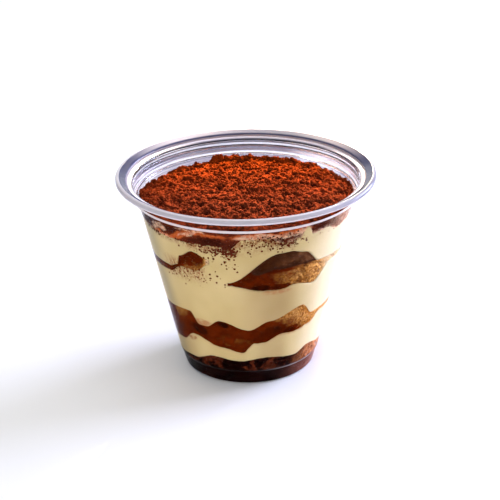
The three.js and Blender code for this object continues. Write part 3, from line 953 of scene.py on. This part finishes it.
# Patches of the cocoa against the plastic: dark with painted shade, orange where loose powder has slid down,
# and pale where cream has spread over it.
PAINTED_SHADE_PATCHES = [(-68, 63, 9, 3.5, 0), (-44, 64.4, 5, 1.3, 0.04), (-21, 62.3, 12, 1.3, 0), (-9, 60.6, 5, 1.6, 0.1),
           (27, 63.6, 6, 1.1, 0), (46, 65, 12, 2.2, 0)]
LOOSE = [(-38.5, 63.1, 8, 1.5, 0.28), (-54, 61.2, 9, 0.8, 0), (-23, 65.3, 12, 0.9, -0.03),
         (7, 65.2, 15, 1.5, 0), (24, 65.8, 12, 1.1, 0)]
SMEARED = [(-57, 63.2, 4, 1.5, 0.1), (-52, 64, 4.5, 1.3, -0.05), (-31, 66.1, 9, 0.4, 0.03),
           (-33, 64.4, 6, 0.6, 0.2), (6, 65, 12, 1.4, 0), (22, 64.6, 9, 1.2, 0.05), (31, 65, 4, 1.6, 0)]


cocoa_material = cocoa_finish()
bm = lay(cream_top, cocoa_top, 600, (6, 118), 24, roll=0.15 * MM, pit=crumbled(4.0, 0.2))
painted_gap_shade, pressed_and_shade, loose, smear_and_reflection = shares(bm, "painted_gap_shade", "pressed_and_shade", "loose", "smear_and_reflection")
for vert in bm.verts:
    x, y, z = vert.co
    if math.hypot(x, y) > wall_radius(z) - 0.5 * MM:
        angle = bearing(vert.co)
        ripple = 0.7 * MM * noise.fractal(vert.co / (2.5 * MM), 0.8, 2.1, 4)
        # Painted shade in the dark patches.
        vert[pressed_and_shade] = patched(PAINTED_SHADE_PATCHES, angle, z + ripple)
        vert[loose] = patched(LOOSE, angle, z + ripple)
        above = z - cream_top(round(angle, 1), 1)
        fringe = ease(above + 0.5 * ripple, 1.4 * MM, 0) * (ease(angle, -4, 4) + ease(angle, -42, -50))
        # Painted reflection: paler at the right.
        veil = 0.55 * ease(angle, 42, 64) * ease(angle, 160, 100)
        vert[smear_and_reflection] = max(patched(SMEARED, angle, z + ripple), 0.8 * fringe, veil)
    else:
        # Painted shade in the gaps between the powder's lumps.
        vert[painted_gap_shade] = ease(grains(x, y), 0.35, 0.1)
place(bm, "cocoa_layer", cocoa_material, "cocoa", "cocoa")


# ---------------------------------------------------------------------------------------------------------
# Loose cocoa: clumps of the powder that lie on top of the dusting, and specks of it that fell down the side
# and are caught between the cream and the plastic.

CLUMPS_ON_TOP = 2300
draw = random.Random(7)


def scatter(spots, name, material, darkening):
    """One small lumpy ball at each spot: where it is, its size and how flat it is squashed outward. The last
    argument is how far they have darkened."""
    bm = bmesh.new()
    bmesh.ops.create_icosphere(bm, subdivisions=2, radius=1)
    ball = len(bm.verts)
    while len(bm.verts) < ball * len(spots):
        bmesh.ops.duplicate(bm, geom=bm.verts[:] + bm.edges[:] + bm.faces[:])
    bm.verts.ensure_lookup_table()
    bmesh.ops.delete(bm, geom=bm.verts[ball * len(spots):], context="VERTS")
    for i, vert in enumerate(bm.verts):
        centre, size, flatness = spots[i // ball]
        lumpy = vert.co * size * (1 + 0.5 * noise.noise(vert.co * 1.3 + centre / MM))
        flattened = Vector((lumpy.x, lumpy.y * flatness, lumpy.z))
        vert.co = centre + Matrix.Rotation(math.atan2(centre.x, -centre.y), 3, "Z") @ flattened
    pressed_and_shade, *_ = shares(bm, "pressed_and_shade", "painted_gap_shade", "loose", "smear_and_reflection")
    for vert in bm.verts:
        vert[pressed_and_shade] = darkening
    return place(bm, name, material, "cocoa")


on_top = []
for i in range(CLUMPS_ON_TOP):
    out = wall_radius(COCOA_LEVEL) * math.sqrt(draw.random()) * 0.985
    turn = draw.uniform(0, math.tau)
    size = draw.uniform(0.12, 0.28) * MM if draw.random() < 0.93 else draw.uniform(0.35, 0.7) * MM
    x, y = out * math.sin(turn), -out * math.cos(turn)
    on_top.append((Vector((x, y, cocoa_surface(x, y) + 0.3 * size)), size, 1))
scatter(on_top, "cocoa_clumps", cocoa_material, darkening=0)

# Where specks gather: angle and its spread, height and its spread in millimetres, how many, and the size of
# the largest.
GATHERINGS = [(-22, 8, 59.6, 1.2, 150, 0.45), (-10.5, 2.6, 58.9, 1.3, 200, 0.5), (-3, 5, 61.5, 1.4, 60, 0.4),
              (13, 8, 62.2, 1.7, 190, 0.45), (22, 4, 61.2, 0.9, 90, 0.5), (-17, 8, 54.5, 3.0, 60, 0.45),
              (-34, 8, 46.8, 2.2, 90, 0.4), (-48, 6, 46.3, 1.0, 50, 0.4), (-56, 6, 60.8, 0.5, 50, 0.5),
              (44, 5, 61.8, 0.8, 16, 0.3)]
caught = []
for angle, angle_spread, height, height_spread, count, largest in GATHERINGS:
    for i in range(count):
        turn = math.radians(draw.gauss(angle, angle_spread))
        z = draw.gauss(height, height_spread) * MM
        size = largest * MM * draw.uniform(0.25, 1) ** 2
        out = wall_radius(z) - 0.02 * MM
        caught.append((Vector((out * math.sin(turn), -out * math.cos(turn), z)), size, 0.35))
scatter(caught, "cocoa_specks", cocoa_material, darkening=0.3)


# ---------------------------------------------------------------------------------------------------------
# Floor, light and camera: a pale matt floor under soft studio panels, the strongest at the right, and a
# narrow warm spotlight from behind on the cocoa. The camera looks down a little, from the front.

def plain(name, colour, roughness):
    """One even colour."""
    finish = Finish(name)
    finish.shader.inputs["Base Color"].default_value = (*colour, 1)
    finish.shader.inputs["Roughness"].default_value = roughness
    return finish.material


bm = bmesh.new()
bmesh.ops.create_grid(bm, x_segments=1, y_segments=1, size=3)
floor_mesh = bpy.data.meshes.new("floor")
bm.to_mesh(floor_mesh)
bm.free()
floor_mesh.materials.append(plain("pale_floor", (0.9, 0.9, 0.9), 0.8))
floor = bpy.data.objects.new("floor", floor_mesh)
bpy.context.scene.collection.objects.link(floor)


def panel(name, spot, size, power, colour=(1, 1, 1)):
    """A soft light of that width and height, which faces the middle of the cup."""
    light = bpy.data.lights.new(name, "AREA")
    light.shape = "RECTANGLE"
    light.size, light.size_y = size
    light.energy = power
    light.color = colour
    lamp = bpy.data.objects.new(name, light)
    lamp.location = spot
    aim = Vector((0, 0, CUP_HEIGHT / 2)) - Vector(spot)
    lamp.rotation_euler = aim.to_track_quat("-Z", "Y").to_euler()
    bpy.context.scene.collection.objects.link(lamp)


panel("top_panel", (0, 0, 1.6), (2.0, 2.0), 19)
panel("backdrop_panel", (0, 2.2, 0.45), (3.0, 0.9), 14)
panel("right_panel", (0.85, 0.45, 0.25), (0.6, 0.5), 22, colour=(0.90, 0.95, 1.3))
panel("left_panel", (-1.2, 0.5, 0.5), (0.15, 0.6), 0.8)
panel("front_fill", (-0.42, -1.0, 0.5), (0.4, 0.4), 5)

SNOOT_SPOT = Vector((0.12, 0.62, 0.38))
SNOOT_TARGET = Vector((0.004, 0.006, 0.067))
SNOOT_FLATTENING = (1, 0.5, 1)  # makes its beam half as high as it is wide
snoot = bpy.data.lights.new("snoot", "SPOT")
snoot.energy = 350
snoot.color = (1, 0.82, 0.62)
snoot.spot_size = math.radians(6.9)
snoot.spot_blend = 0.35
snoot.shadow_soft_size = 0.012
lamp = bpy.data.objects.new("snoot", snoot)
lamp.location = SNOOT_SPOT
lamp.rotation_euler = (SNOOT_TARGET - SNOOT_SPOT).to_track_quat("-Z", "Y").to_euler()
lamp.scale = SNOOT_FLATTENING
bpy.context.scene.collection.objects.link(lamp)

world = bpy.data.worlds.new("studio")
world.use_nodes = True
world.node_tree.nodes["Background"].inputs["Color"].default_value = (0.86, 0.86, 0.95, 1)
world.node_tree.nodes["Background"].inputs["Strength"].default_value = 0.18
bpy.context.scene.world = world
bpy.context.scene.view_settings.view_transform = "Standard"

CAMERA_TILT = math.radians(23.59)
CAMERA_ROLL = math.radians(-1.23)
CAMERA_DISTANCE = 0.6
CAMERA_TARGET = Vector((0.98, 0, 43.61)) * MM
CAMERA_LENS = 116.18
CAMERA_SENSOR = 36
camera = bpy.data.cameras.new("camera")
camera.lens = CAMERA_LENS
camera.sensor_width = CAMERA_SENSOR
camera.clip_start = 0.01
viewpoint = bpy.data.objects.new("camera", camera)
backward = Vector((0, -math.cos(CAMERA_TILT), math.sin(CAMERA_TILT)))
viewpoint.location = CAMERA_TARGET + CAMERA_DISTANCE * backward
facing = Euler((math.pi / 2 - CAMERA_TILT, 0, 0)).to_matrix() @ Matrix.Rotation(CAMERA_ROLL, 3, "Z")
viewpoint.rotation_euler = facing.to_euler()
bpy.context.scene.collection.objects.link(viewpoint)
bpy.context.scene.camera = viewpoint
